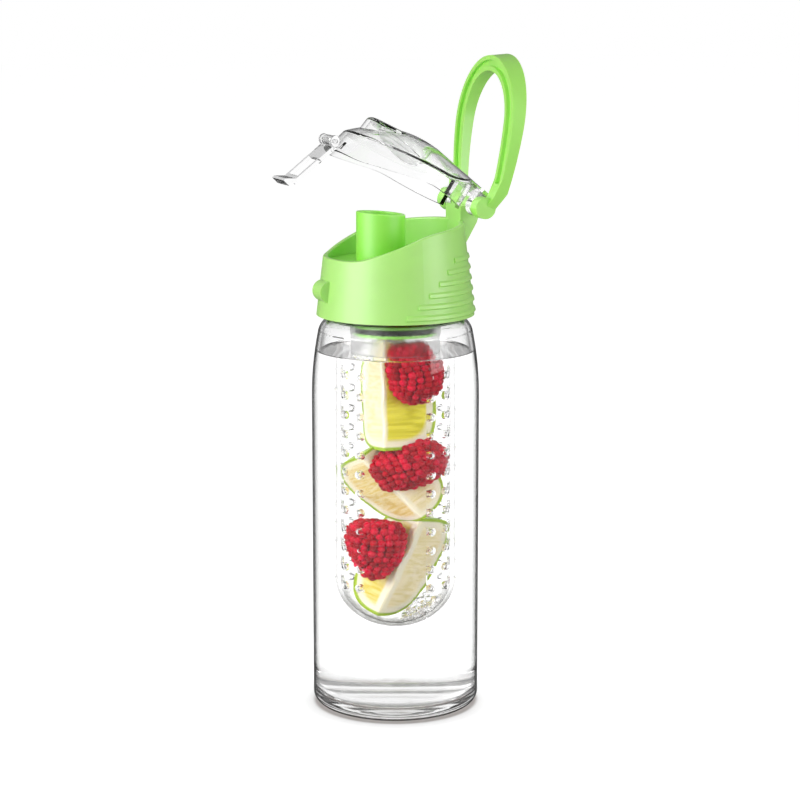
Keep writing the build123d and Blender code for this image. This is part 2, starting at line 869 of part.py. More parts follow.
makers = {
    "bottle_body": make_bottle_body,
    "cap_shell": make_cap_shell,
    "cap_insert": make_cap_insert,
    "neck_seal": make_neck_seal,
    "infuser_seal": make_infuser_seal,
    "infuser_collar": make_infuser_collar,
    "infuser_basket": make_infuser_basket,
    "flip_lid": make_flip_lid,
    "spout_seal": make_spout_seal,
    "latch_flap": make_latch_flap,
    "latch_pin": make_latch_pin,
    "hinge_pin": make_hinge_pin,
    "carry_loop": make_carry_loop,
}

os.makedirs("parts", exist_ok=True)
for node, maker in makers.items():
    export_step(maker(), f"parts/{node}.step")
    print(node, "written")
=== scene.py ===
import random
from math import cos, pi, radians, sin, sqrt

import bmesh
import bpy
from mathutils import Matrix, Vector, noise


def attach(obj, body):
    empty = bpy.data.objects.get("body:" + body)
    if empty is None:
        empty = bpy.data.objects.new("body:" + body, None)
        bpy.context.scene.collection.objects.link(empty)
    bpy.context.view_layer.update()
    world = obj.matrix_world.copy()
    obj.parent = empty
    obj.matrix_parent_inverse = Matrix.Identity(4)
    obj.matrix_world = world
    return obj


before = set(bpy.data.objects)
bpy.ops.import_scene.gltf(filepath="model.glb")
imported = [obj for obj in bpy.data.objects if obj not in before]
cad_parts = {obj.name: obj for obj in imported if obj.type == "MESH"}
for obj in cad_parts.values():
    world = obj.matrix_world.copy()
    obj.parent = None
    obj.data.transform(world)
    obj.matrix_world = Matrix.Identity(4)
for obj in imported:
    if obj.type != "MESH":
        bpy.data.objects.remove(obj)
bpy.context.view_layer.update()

# Lengths are in millimetres and turned into metres by MM. Angles are in degrees.
MM = 0.001

# Camera
CAMERA_TURN = 68.0
CAMERA_DISTANCE = 1000.0
CAMERA_HEIGHT = 326.0
CAMERA_SIDE = 2.0
CAMERA_PITCH = 10.772
CAMERA_LENS = 104.85
SENSOR_WIDTH = 36.0

# Inside of the bottle
BORE_RADIUS = 34.7
FLOOR_HEIGHT = 5.2
CORNER_ROUND = 5.0
SHOULDER_BEND_START = 137.7
SHOULDER_BEND_RADIUS = 144.2
WATER_HEIGHT = 157.8
WALL_OVERLAP = 0.2
MENISCUS_RISE = 0.9
MENISCUS_WIDTH = 3.0
ROUND_STEPS = 160
# The bottle's base carries painted shade up to this height, mottled by noise.
BASE_SHADE_HEIGHT = 9.0
BASE_SHADE_MOTTLE = 0.9
CLEAR_MIRROR = 0.4

# Infuser
BASKET_RADIUS = 19.5
BASKET_WALL = 1.5
BASKET_BOTTOM = 37.0
HOLE_RADIUS = 1.9
HOLE_ROWS = 12
HOLE_PITCH = 8.4
HOLE_START = 56.0
HOLE_TURN = 68.0
HOLE_OFFSETS = (-46.0, -21.0, 21.0, 46.0)
# Painted shade on the basket's round bottom: a wavy dark band where it is seen edge on.
DOME_WAVES = 0.45
DOME_SHADE_BAND = ((0.62, (1, 1, 1)), (0.8, (0.5, 0.5, 0.48)), (1.0, (0.14, 0.14, 0.13)))

# Fruit and froth
FROTH_COUNT = 90
DRUPELET_RADIUS = 1.6
BERRY_LUMP_WIDTH = 9.0
BERRY_SCATTER = 2.0
PITH = (0.80, 0.75, 0.58, 1)
PEEL = (0.30, 0.46, 0.02, 1)
LIME_CORE_WIDTH = 0.6
LIME_SCATTER = 5.0
PEEL_ROUGHNESS = 0.22
MERGE_DISTANCE = 0.02

# Moulded plastic
GRAIN_DEPTH = 0.1
GRAIN_SCALE = 900.0
PLASTIC_MOTTLE = 0.04

# Floor and lamps
FLOOR_HALF_WIDTH = 6000.0
FLOOR_SHADE_REACH = 100.0
LAMP_AIM_HEIGHT = 150.0

turn = radians(CAMERA_TURN)
RIGHT = Vector((cos(turn), sin(turn), 0))
TOWARD = Vector((sin(turn), -cos(turn), 0))
UP = Vector((0, 0, 1))


def place(right, toward, height):
    """Point given by how far it lies to the camera's right, towards the camera, and above the ground."""
    return (RIGHT * right + TOWARD * toward + UP * height) * MM


# Node helpers

def new_material(name):
    material = bpy.data.materials.new(name)
    material.use_nodes = True
    material.node_tree.nodes.clear()
    return material, material.node_tree


def add_node(tree, kind, settings=None, values=None):
    item = tree.nodes.new(kind)
    for key, value in (settings or {}).items():
        setattr(item, key, value)
    for key, value in (values or {}).items():
        item.inputs[key].default_value = value
    return item


def set_input(tree, socket, source):
    """Links a node's output to an input, or gives the input a value."""
    if isinstance(source, bpy.types.NodeSocket):
        tree.links.new(source, socket)
    else:
        socket.default_value = source


def math_node(tree, operation, *sources):
    """Sum, product or other result of numbers and nodes' outputs."""
    item = add_node(tree, "ShaderNodeMath", {"operation": operation})
    for socket, source in zip(item.inputs, sources):
        set_input(tree, socket, source)
    return item.outputs[0]


def mix_node(tree, factor, first, second, blend="MIX"):
    """Mix of two colours, each a colour or a node's output."""
    item = add_node(tree, "ShaderNodeMix", {"data_type": "RGBA", "blend_type": blend})
    for name, source in (("Factor", factor), ("A", first), ("B", second)):
        set_input(tree, item.inputs[name], source)
    return item.outputs["Result"]


def ramp_node(tree, source, stops):
    """Colour ramp with stops given as (place, colour)."""
    item = add_node(tree, "ShaderNodeValToRGB")
    elements = item.color_ramp.elements
    while len(elements) < len(stops):
        elements.new(1)
    for element, (where, colour) in zip(elements, stops):
        element.position = where
        element.color = (*colour, 1)
    tree.links.new(source, item.inputs["Fac"])
    return item.outputs["Color"]


def noise_node(tree, scale, detail):
    """Noise in the object's own space."""
    where = add_node(tree, "ShaderNodeTexCoord").outputs["Object"]
    item = add_node(tree, "ShaderNodeTexNoise", values={"Scale": scale, "Detail": detail})
    tree.links.new(where, item.inputs["Vector"])
    return item.outputs["Fac"]


def height_share(tree, top):
    """How high a point of the object lies, as a share of a height in millimetres."""
    parts = add_node(tree, "ShaderNodeSeparateXYZ")
    where = add_node(tree, "ShaderNodeTexCoord").outputs["Object"]
    tree.links.new(where, parts.inputs[0])
    return math_node(tree, "DIVIDE", parts.outputs["Z"], top * MM)


def attribute_node(tree, name):
    """Value that a mesh stores under a name at each of its points."""
    return add_node(tree, "ShaderNodeAttribute", {"attribute_name": name}).outputs["Fac"]


def bump_node(tree, height, strength, distance):
    item = add_node(tree, "ShaderNodeBump", values={"Strength": strength, "Distance": distance * MM})
    tree.links.new(height, item.inputs["Height"])
    return item.outputs["Normal"]


def grey(level):
    return (level, level, level)


def let_lamps_through(tree, shader, tint):
    """Shader that the lamps' light passes, so that what it holds is lit."""
    rays = add_node(tree, "ShaderNodeLightPath")
    clear = add_node(tree, "ShaderNodeBsdfTransparent", values={"Color": (*tint, 1)})
    mix = add_node(tree, "ShaderNodeMixShader")
    out = add_node(tree, "ShaderNodeOutputMaterial")
    tree.links.new(rays.outputs["Is Shadow Ray"], mix.inputs["Fac"])
    tree.links.new(shader.outputs["BSDF"], mix.inputs[1])
    tree.links.new(clear.outputs["BSDF"], mix.inputs[2])
    tree.links.new(mix.outputs["Shader"], out.inputs["Surface"])


def clear_material(name, ior, roughness, middle, edge, start, end):
    """Clear plastic or water, whose colour runs from middle to edge between two shares of facing away. The
    edge colour is painted shade, a dark rim where the piece is seen edge on.
    """
    material, tree = new_material(name)
    glass = add_node(tree, "ShaderNodeBsdfPrincipled", values={
        "Transmission Weight": 1,
        "IOR": ior,
        "Roughness": roughness,
        "Specular Tint": (*grey(CLEAR_MIRROR), 1),
    })
    facing = add_node(tree, "ShaderNodeLayerWeight", values={"Blend": 0.5}).outputs["Facing"]
    # Painted shade: the colour darkens to the edge level where the surface is seen edge on.
    colour = ramp_node(tree, facing, ((0, middle), (start, middle), (end, edge)))
    tree.links.new(colour, glass.inputs["Base Color"])
    let_lamps_through(tree, glass, middle)
    return material


def clear_shader(material):
    """Shader of a clear material, and the output that gives its colour."""
    shader = next(n for n in material.node_tree.nodes if n.type == "BSDF_PRINCIPLED")
    return shader, shader.inputs["Base Color"].links[0].from_socket


def shade_base(material):
    """Paints shade on the bottle's thick base: browner and mottled towards the bottom, standing in for the
    dark ground seen through it. Flat faces low on the base lose the painted dark edge.
    """
    tree = material.node_tree
    glass, before = clear_shader(material)
    # Painted shade: a brown, mottled tone that fades out upward.
    share = height_share(tree, BASE_SHADE_HEIGHT)
    shade_mottle = math_node(tree, "MULTIPLY_ADD", noise_node(tree, 160, 3), BASE_SHADE_MOTTLE, share)
    tone = ramp_node(tree, shade_mottle, (
        (0.0, (0.32, 0.29, 0.28)), (0.5, (0.44, 0.40, 0.38)), (0.75, grey(0.8)), (1.0, grey(1)),
    ))
    normal = add_node(tree, "ShaderNodeSeparateXYZ")
    tree.links.new(add_node(tree, "ShaderNodeNewGeometry").outputs["Normal"], normal.inputs[0])
    upright = math_node(tree, "ABSOLUTE", normal.outputs["Z"])
    flat = ramp_node(tree, upright, ((0.7, grey(0)), (0.9, grey(1))))
    low = ramp_node(tree, share, ((0.9, grey(1)), (1.0, grey(0))))
    flat_and_low = math_node(tree, "MULTIPLY", flat, low)
    # Flat, low faces are set nearly white in place of the painted dark edge.
    bright = mix_node(tree, flat_and_low, before, (*grey(0.97), 1))
    set_input(tree, glass.inputs["Base Color"], mix_node(tree, 1, bright, tone, "MULTIPLY"))
    return material


def shade_dome(material):
    """Paints shade on the basket's round bottom: a wavy dark band where it is seen edge on."""
    tree = material.node_tree
    glass, before = clear_shader(material)
    share = height_share(tree, BASKET_BOTTOM + BASKET_RADIUS)
    facing = add_node(tree, "ShaderNodeLayerWeight", values={"Blend": 0.5}).outputs["Facing"]
    waved = math_node(tree, "MULTIPLY_ADD", noise_node(tree, 330, 3), DOME_WAVES, facing)
    band = ramp_node(tree, waved, DOME_SHADE_BAND)
    low = ramp_node(tree, share, ((0.86, grey(1)), (1.0, grey(0))))
    set_input(tree, glass.inputs["Base Color"], mix_node(tree, low, before, band, "MULTIPLY"))
    return material


def opaque_material(name, colour, roughness, grain, scatter=0.0, scatter_colour=(1, 1, 1), scatter_depth=1.0,
                    gloss=0.5, coat=0.0, coat_roughness=0.3):
    """Moulded plastic, rubber or metal with a little mottling and grain."""
    material, tree = new_material(name)
    shader = add_node(tree, "ShaderNodeBsdfPrincipled", values={
        "Roughness": roughness,
        "Specular IOR Level": gloss,
        "Coat Weight": coat, "Coat Roughness": coat_roughness,
        "Subsurface Weight": scatter,
        "Subsurface Radius": scatter_colour,
        "Subsurface Scale": scatter_depth * MM,
    })
    darker = tuple(c * (1 - PLASTIC_MOTTLE) for c in colour)
    tone = ramp_node(tree, noise_node(tree, 90, 3), ((0.3, darker), (0.7, colour)))
    tree.links.new(tone, shader.inputs["Base Color"])
    height = noise_node(tree, GRAIN_SCALE, 2)
    tree.links.new(bump_node(tree, height, grain, GRAIN_DEPTH), shader.inputs["Normal"])
    out = add_node(tree, "ShaderNodeOutputMaterial")
    tree.links.new(shader.outputs["BSDF"], out.inputs["Surface"])
    return material


# Mesh helpers

def add_piece(name, verts, faces, material, body, smooth=True, floats=None):
    """New mesh piece, in metres, with its finish and the body that it rides on."""
    mesh = bpy.data.meshes.new(name)
    mesh.from_pydata(verts, [], faces)
    mesh.update()
    for key, values in (floats or {}).items():
        layer = mesh.attributes.new(key, "FLOAT", "POINT")
        layer.data.foreach_set("value", values)
    if smooth:
        mesh.shade_smooth()
    mesh.materials.append(material)
    piece = bpy.data.objects.new(name, mesh)
    bpy.context.collection.objects.link(piece)
    if body:
        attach(piece, body)
    return piece


def revolve(profile, steps):
    """Closed surface made by turning (radius, height) points about the upright axis."""
    verts = []
    faces = []
    rings = []
    for radius, height in profile:
        if radius == 0:
            rings.append([len(verts)])
            verts.append(Vector((0, 0, height)) * MM)
            continue
        rings.append(list(range(len(verts), len(verts) + steps)))
        for i in range(steps):
            angle = 2 * pi * i / steps
            verts.append(Vector((radius * cos(angle), radius * sin(angle), height)) * MM)
    for low, high in zip(rings, rings[1:]):
        for i in range(steps):
            j = (i + 1) % steps
            if len(low) == 1:
                faces.append((low[0], high[j], high[i]))
            elif len(high) == 1:
                faces.append((low[i], low[j], high[0]))
            else:
                faces.append((low[i], low[j], high[j], high[i]))
    return verts, faces


def ball(centre, radii, subdivisions, axes=None):
    """Vertices and faces of a ball stretched along its own axes, in metres."""
    bm = bmesh.new()
    bmesh.ops.create_icosphere(bm, subdivisions=subdivisions, radius=1)
    verts = []
    for vert in bm.verts:
        local = Vector((vert.co.x * radii[0], vert.co.y * radii[1], vert.co.z * radii[2]))
        verts.append(centre + (axes @ local if axes else local))
    faces = [tuple(v.index for v in face.verts) for face in bm.faces]
    bm.free()
    return verts, faces


def join_lists(parts):
    """One vertex list and face list from several."""
    verts = []
    faces = []
    for part_verts, part_faces in parts:
        start = len(verts)
        verts.extend(part_verts)
        faces.extend(tuple(i + start for i in face) for face in part_faces)
    return verts, faces


def use_material(node, material):
    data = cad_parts[node].data
    data.materials.clear()
    data.materials.append(material)


# Camera, light and floor

def add_camera():
    data = bpy.data.cameras.new("camera")
    data.lens = CAMERA_LENS
    data.sensor_width = SENSOR_WIDTH
    camera = bpy.data.objects.new("camera", data)
    bpy.context.collection.objects.link(camera)
    camera.location = place(CAMERA_SIDE, CAMERA_DISTANCE, CAMERA_HEIGHT)
    camera.rotation_euler = (radians(90 - CAMERA_PITCH), 0, turn)
    bpy.context.scene.camera = camera


def chosen_level(tree, camera, through, mirror, fill):
    """Strength of a background for each kind of ray: straight from the camera, through clear pieces,
    mirrored, and everything that has lit a rough surface. Each is a number or a node's output."""
    rays = add_node(tree, "ShaderNodeLightPath")
    rough = math_node(tree, "MINIMUM", rays.outputs["Diffuse Depth"], 1)
    level = fill
    for value, test in (
        (mirror, rays.outputs["Is Glossy Ray"]), (through, rays.outputs["Is Transmission Ray"]),
        (camera, rays.outputs["Is Camera Ray"]), (fill, rough),
    ):
        mix = add_node(tree, "ShaderNodeMix", {"data_type": "FLOAT"})
        tree.links.new(test, mix.inputs["Factor"])
        for name, source in (("A", level), ("B", value)):
            set_input(tree, mix.inputs[name], source)
        level = mix.outputs["Result"]
    return level


def add_world():
    """White where the camera looks, and a plain level of light elsewhere."""
    world = bpy.data.worlds.new("world")
    bpy.context.scene.world = world
    world.use_nodes = True
    tree = world.node_tree
    tree.nodes.clear()
    where = add_node(tree, "ShaderNodeTexCoord")
    parts = add_node(tree, "ShaderNodeSeparateXYZ")
    tree.links.new(where.outputs["Generated"], parts.inputs[0])
    sky = ramp_node(tree, parts.outputs["Z"], (
        (0.0, grey(1.0)), (0.66, grey(1.0)), (0.75, grey(0.45)), (0.86, grey(0.25)), (1.0, grey(0.45)),
    ))
    seen = add_node(tree, "ShaderNodeBackground", values={"Color": (1, 1, 1, 1)})
    tree.links.new(chosen_level(tree, 1.0, sky, 0.25, 0.55), seen.inputs["Strength"])
    out = add_node(tree, "ShaderNodeOutputWorld")
    tree.links.new(seen.outputs[0], out.inputs["Surface"])


def add_lamp(name, right, toward, height, size, power):
    """Square lamp that looks at the middle of the bottle."""
    data = bpy.data.lights.new(name, "AREA")
    data.energy = power
    data.size = size * MM
    lamp = bpy.data.objects.new(name, data)
    bpy.context.collection.objects.link(lamp)
    lamp.location = place(right, toward, height)
    aim = place(0, 0, LAMP_AIM_HEIGHT) - lamp.location
    lamp.rotation_euler = aim.to_track_quat("-Z", "Y").to_euler()


def add_floor():
    """Pale floor that glows a little where it is looked at. Its glow and paint carry a painted shadow ring
    round the bottle's base and a painted pool of light under the bottle's middle, and it is painted darker
    where mirrored.
    """
    half = FLOOR_HALF_WIDTH * MM
    verts = [(-half, -half, 0), (half, -half, 0), (half, half, 0), (-half, half, 0)]
    material, tree = new_material("floor_white")
    where = add_node(tree, "ShaderNodeTexCoord")
    far = add_node(tree, "ShaderNodeVectorMath", {"operation": "LENGTH"})
    tree.links.new(where.outputs["Object"], far.inputs[0])
    share = math_node(tree, "DIVIDE", far.outputs["Value"], FLOOR_SHADE_REACH * MM)
    # Painted light and shadow in the glow: strong under the bottle's middle, a dark ring round its base,
    # then the plain level further out.
    glow_painted_light_and_shadow = ramp_node(tree, share, (
        (0.0, grey(0.95)), (0.22, grey(0.85)), (0.29, grey(0.3)), (0.35, grey(0.12)), (0.38, grey(0.3)),
        (0.45, grey(0.44)), (0.6, grey(0.52)), (0.9, grey(0.56)),
    ))
    paint = add_node(tree, "ShaderNodeBsdfDiffuse")
    # Painted shadow in the paint: a brownish dark ring round the bottle's base.
    shade = ramp_node(tree, share, (
        (0.0, grey(0.75)), (0.22, grey(0.7)), (0.29, (0.36, 0.33, 0.31)), (0.355, (0.30, 0.27, 0.26)),
        (0.37, grey(0.66)), (0.45, grey(0.75)), (0.6, grey(0.80)),
    ))
    # Painted reflection: the floor's paint is darker when it is seen in a mirror.
    tone = mix_node(tree, 1, shade, chosen_level(tree, 1.0, 1.0, 0.25, 1.0), "MULTIPLY")
    tree.links.new(tone, paint.inputs["Color"])
    glow = add_node(tree, "ShaderNodeEmission")
    level = math_node(tree, "MULTIPLY", chosen_level(tree, 1.0, 1.0, 0.0, 0.0), glow_painted_light_and_shadow)
    tree.links.new(level, glow.inputs["Strength"])
    both = add_node(tree, "ShaderNodeAddShader")
    tree.links.new(paint.outputs[0], both.inputs[0])
    tree.links.new(glow.outputs[0], both.inputs[1])
    out = add_node(tree, "ShaderNodeOutputMaterial")
    tree.links.new(both.outputs[0], out.inputs["Surface"])
    floor = add_piece("floor", verts, [(0, 1, 2, 3)], material, "", smooth=False)


# Water

def bore_at(height):
    """Inner radius of the bottle at a height between its straight wall and its shoulder."""
    over = max(0, height - SHOULDER_BEND_START)
    return BORE_RADIUS - SHOULDER_BEND_RADIUS + sqrt(SHOULDER_BEND_RADIUS ** 2 - over ** 2)


def add_water():
    floor = FLOOR_HEIGHT - WALL_OVERLAP
    side = BORE_RADIUS + WALL_OVERLAP
    profile = [(0, floor), (side - CORNER_ROUND, floor)]
    corner_steps = 8
    for i in range(1, corner_steps + 1):
        angle = pi / 2 * i / corner_steps
        profile.append((side - CORNER_ROUND + CORNER_ROUND * sin(angle),
                        floor + CORNER_ROUND - CORNER_ROUND * cos(angle)))
    profile.append((side, SHOULDER_BEND_START))
    rise_steps = 10
    top = WATER_HEIGHT + MENISCUS_RISE
    for i in range(1, rise_steps + 1):
        height = SHOULDER_BEND_START + (top - SHOULDER_BEND_START) * i / rise_steps
        profile.append((bore_at(height) + WALL_OVERLAP, height))
    rim = bore_at(top) + WALL_OVERLAP
    curve_steps = 8
    for i in range(1, curve_steps + 1):
        share = i / curve_steps
        profile.append((rim - MENISCUS_WIDTH * share, WATER_HEIGHT + MENISCUS_RISE * (1 - share) ** 3))
    profile.append((0, WATER_HEIGHT))
    verts, faces = revolve(profile, ROUND_STEPS)
    # Painted shade: the water darkens slightly where it is seen edge on.
    material = clear_material("water", 1.33, 0.0, grey(1.0), grey(0.93), 0.8, 1.0)
    water = add_piece("water", verts, faces, material, "bottle")
    water.data.set_sharp_from_angle(angle=radians(40))


# Raspberries

def raspberry_material():
    material, tree = new_material("raspberry_skin")
    colour = ramp_node(tree, attribute_node(tree, "tone"), (
        (0.0, (0.16, 0.0, 0.004)), (0.5, (0.42, 0.0, 0.010)), (1.0, (0.62, 0.004, 0.035)),
    ))
    shader = add_node(tree, "ShaderNodeBsdfPrincipled", values={
        "Roughness": 0.3, "IOR": 1.13, "Subsurface Weight": 0.3, "Subsurface Radius": (1, 0.08, 0.1),
        "Subsurface Scale": BERRY_SCATTER * MM,
    })
    tree.links.new(colour, shader.inputs["Base Color"])
    height = noise_node(tree, 900, 3)
    tree.links.new(bump_node(tree, height, 0.25, 0.3), shader.inputs["Normal"])
    out = add_node(tree, "ShaderNodeOutputMaterial")
    tree.links.new(shader.outputs["BSDF"], out.inputs["Surface"])
    return material


def outline_at(outline, share):
    """Point on an outline of (radius, height) points, at a share of its length."""
    runs = [Vector(b) - Vector(a) for a, b in zip(outline, outline[1:])]
    left = share * sum(run.length for run in runs)
    for start, run in zip(outline, runs):
        if left <= run.length:
            return Vector(start) + run * (left / run.length)
        left -= run.length
    return Vector(outline[-1])


def add_raspberry(name, centre, size, lean, spin, outline, seed, material):
    """Raspberry of close-packed drupelets. Size is its width, depth and height, lean and spin turn it in the
    picture's plane and about its own axis, and outline gives radius shares from the tip to the open end."""
    rng = random.Random(seed)
    pose = Matrix((RIGHT, TOWARD, UP)).transposed()
    pose = pose @ Matrix.Rotation(radians(lean), 3, "Y") @ Matrix.Rotation(radians(spin), 3, "Z")
    bead = DRUPELET_RADIUS * MM
    half = [s / 2 * MM - bead for s in size]
    length = sum((Vector(b) - Vector(a)).length for a, b in zip(outline, outline[1:]))
    rows = round(length * half[2] / (bead * 1.62))
    core_verts, core_faces = ball(centre, [h * 0.9 for h in half], 3, pose)
    parts = [(core_verts, core_faces)]
    tones = [0.0] * len(core_verts)
    for row in range(rows):
        across, height = outline_at(outline, (row + 0.5) / rows)
        girth = pi * across * (half[0] + half[1])
        count = max(1, round(girth / (bead * 1.66)))
        shift = rng.random() * 2 * pi
        for i in range(count):
            angle = shift + 2 * pi * (i + rng.uniform(-0.12, 0.12)) / count
            local = Vector((
                across * half[0] * cos(angle), across * half[1] * sin(angle),
                height * half[2] + rng.uniform(-0.15, 0.15) * bead,
            ))
            lump = noise.noise(local / (BERRY_LUMP_WIDTH * MM) + Vector((seed, 0, 0))) * 0.5 * bead
            local = local + local.normalized() * lump
            scale = bead * rng.uniform(0.94, 1.2)
            outward = Vector((cos(angle) * across, sin(angle) * across, height)).normalized()
            axes = pose @ outward.to_track_quat("Z", "Y").to_matrix()
            verts, faces = ball(centre + pose @ local, (scale, scale, scale * 1.1), 2, axes)
            parts.append((verts, faces))
            tones.extend([rng.uniform(0.2, 1.0)] * len(verts))
    verts, faces = join_lists(parts)
    add_piece(name, verts, faces, material, "infuser", floats={"tone": tones})


BERRY_OUTLINE = (
    (0.0, -1.0), (0.30, -0.96), (0.58, -0.82), (0.80, -0.60), (0.94, -0.32), (1.0, 0.0), (0.99, 0.3),
    (0.93, 0.58), (0.80, 0.82), (0.55, 0.98), (0.36, 0.86),
)
HEART_OUTLINE = (
    (0.0, -1.0), (0.28, -0.92), (0.48, -0.76), (0.66, -0.52), (0.82, -0.24), (0.95, 0.08), (1.0, 0.4),
    (0.95, 0.72), (0.80, 0.94), (0.58, 1.0), (0.36, 0.84), (0.2, 0.6),
)


# Lime wedges

def lime_material(name, low_flesh, high_flesh, membrane):
    """Cut lime: membrane at the core, juicy flesh, white pith and green peel. Each cut face has its own two
    flesh colours, deep and pale, which carry painted light and shade that differ from face to face."""
    material, tree = new_material(name)
    rim = attribute_node(tree, "rim")
    along = add_node(tree, "ShaderNodeCombineXYZ")
    tree.links.new(attribute_node(tree, "station"), along.inputs["X"])
    tree.links.new(rim, along.inputs["Y"])
    mapping = add_node(tree, "ShaderNodeMapping", values={"Scale": (34, 4.5, 1)})
    tree.links.new(along.outputs[0], mapping.inputs["Vector"])
    grains = add_node(tree, "ShaderNodeTexNoise", values={"Scale": 1, "Detail": 2})
    tree.links.new(mapping.outputs[0], grains.inputs["Vector"])
    sacs = grains.outputs["Fac"]
    low_tone, high_tone = (
        ramp_node(tree, sacs, ((0.35, deep), (0.62, pale))) for deep, pale in (low_flesh, high_flesh)
    )
    # Painted light and shade: each cut face gets its own flesh colours.
    flesh_and_painted_light = mix_node(tree, attribute_node(tree, "side"), low_tone, high_tone)
    past_core = ramp_node(tree, attribute_node(tree, "core"), (
        (0.0, grey(0)), (membrane, grey(0)), (membrane + 0.06, grey(1)),
    ))
    inside = ramp_node(tree, rim, ((0.0, grey(1)), (0.79, grey(1)), (0.86, grey(0))))
    cut = mix_node(tree, math_node(tree, "MULTIPLY", past_core, inside), PITH, flesh_and_painted_light)
    at_edge = ramp_node(tree, rim, ((0.925, grey(0)), (0.955, grey(1))))
    edge = mix_node(tree, at_edge, cut, PEEL)
    spots = ramp_node(tree, noise_node(tree, 420, 2), (
        (0.35, (0.22, 0.37, 0.012)), (0.65, (0.38, 0.54, 0.03)),
    ))
    whole = mix_node(tree, attribute_node(tree, "skin"), edge, spots)
    shader = add_node(tree, "ShaderNodeBsdfPrincipled", values={
        "Roughness": 0.28, "IOR": 1.13, "Subsurface Weight": 0.5, "Subsurface Radius": (1, 0.9, 0.35),
        "Subsurface Scale": LIME_SCATTER * MM,
    })
    tree.links.new(whole, shader.inputs["Base Color"])
    height = math_node(tree, "ADD", sacs, noise_node(tree, 700, 2))
    tree.links.new(bump_node(tree, height, 0.35, 0.5), shader.inputs["Normal"])
    out = add_node(tree, "ShaderNodeOutputMaterial")
    tree.links.new(shader.outputs["BSDF"], out.inputs["Surface"])
    return material


def add_lime(name, top, bottom, radius, away_angles, bluntness, seed, material):
    """Wedge of lime. Top and bottom are the ends of its core edge, and away_angles the two directions of its
    cut faces, counted from straight away from the camera towards its right."""
    axis = top - bottom
    length = axis.length
    up = axis.normalized()
    back = -TOWARD
    back = (back - up * back.dot(up)).normalized()
    side = back.cross(up)
    if side.dot(RIGHT) < 0:
        side = -side
    low, high = (radians(a) for a in away_angles)
    stations = 44
    face_shares = (0.0, 0.03, 0.07, 0.12, 0.2, 0.32, 0.45, 0.58, 0.68, 0.76, 0.82, 0.88, 0.93, 0.965, 1.0)
    arc_steps = 14
    core_wide = LIME_CORE_WIDTH * MM
    verts = []
    rims = []
    cores = []
    skins = []
    sides = []
    places = []
    rings = []
    for s in range(stations + 1):
        along = (1 - cos(pi * s / stations)) / 2
        height = 2 * along - 1
        power = bluntness[0] if height > 0 else bluntness[1]
        girth = max(0.0, 1 - abs(height) ** power) ** (1 / power)
        reach = radius * MM * girth
        middle = bottom + axis * along
        ring = []

        def put(angle, share, skin_share):
            out = side * sin(angle) + back * cos(angle)
            wobble = noise.noise(Vector((along * 5, share * 2 + skin_share, seed * 7.3))) * 0.5 * MM * girth
            point = middle + out * (reach * share + core_wide)
            facing_away = side * cos(angle) - back * sin(angle)
            point = point + facing_away * wobble
            if skin_share:
                point = point + out * noise.noise(point * 260 + Vector((seed, 0, 0))) * PEEL_ROUGHNESS * MM
            ring.append(len(verts))
            verts.append(point)
            rims.append(((share * girth) ** power + abs(height) ** power) ** (1 / power))
            cores.append(share * girth)
            skins.append(skin_share)
            # Which cut face a point lies on; the material paints light and shade differently on the two.
            sides.append(float(angle > (low + high) / 2))
            places.append(along)

        for share in face_shares:
            put(low, share, 0)
        for i in range(1, arc_steps):
            put(low + (high - low) * i / arc_steps, 1, 1)
        for share in reversed(face_shares):
            put(high, share, 0)
        rings.append(ring)
    faces = []
    count = len(rings[0])
    for a, b in zip(rings, rings[1:]):
        for i in range(count):
            j = (i + 1) % count
            faces.append((a[i], a[j], b[j], b[i]))
    faces.append(tuple(reversed(rings[0])))
    faces.append(tuple(rings[-1]))
    piece = add_piece(name, verts, faces, material, "infuser",
                      floats={"rim": rims, "core": cores, "skin": skins, "side": sides, "station": places})
    bm = bmesh.new()
    bm.from_mesh(piece.data)
    bmesh.ops.remove_doubles(bm, verts=bm.verts, dist=MERGE_DISTANCE * MM)
    bmesh.ops.recalc_face_normals(bm, faces=bm.faces)
    bm.to_mesh(piece.data)
    bm.free()
    piece.data.shade_smooth()
    piece.data.set_sharp_from_angle(angle=radians(50))


# Bubbles

def add_bubbles():
    rng = random.Random(5)
    parts = []
    for row in range(HOLE_ROWS):
        height = HOLE_START + HOLE_PITCH * row
        for offset in HOLE_OFFSETS:
            for flip in (0, 180):
                angle = radians(HOLE_TURN + offset + flip)
                radius = BASKET_RADIUS - BASKET_WALL / 2
                centre = Vector((radius * cos(angle), radius * sin(angle), height)) * MM
                size = HOLE_RADIUS * rng.uniform(0.55, 0.85) * MM
                parts.append(ball(centre, (size, size, size), 3))
    for _ in range(FROTH_COUNT):
        size = rng.uniform(0.6, 1.7) * MM
        down = radians(rng.uniform(15, 65))
        round_turn = radians(rng.uniform(-70, 70))
        sideways = RIGHT * cos(round_turn) + TOWARD * sin(round_turn)
        reach = (BASKET_RADIUS - BASKET_WALL) * MM - size * 1.3
        middle = UP * (BASKET_BOTTOM + BASKET_RADIUS) * MM
        centre = middle + (sideways * sin(down) - UP * cos(down)) * reach
        parts.append(ball(centre, (size, size, size), 2))
    # Painted shade: the bubbles darken to a near-black rim where they are seen edge on.
    material = clear_material("air_bubble", 0.75, 0.0, grey(1.0), grey(0.06), 0.5, 0.9)
    verts, faces = join_lists(parts)
    add_piece("hole_bubbles", verts, faces, material, "infuser")


add_camera()
add_world()
add_lamp("key", -1000, 600, 520, 1000, 13)
add_lamp("fill", 1100, 500, 500, 700, 5.5)
add_floor()

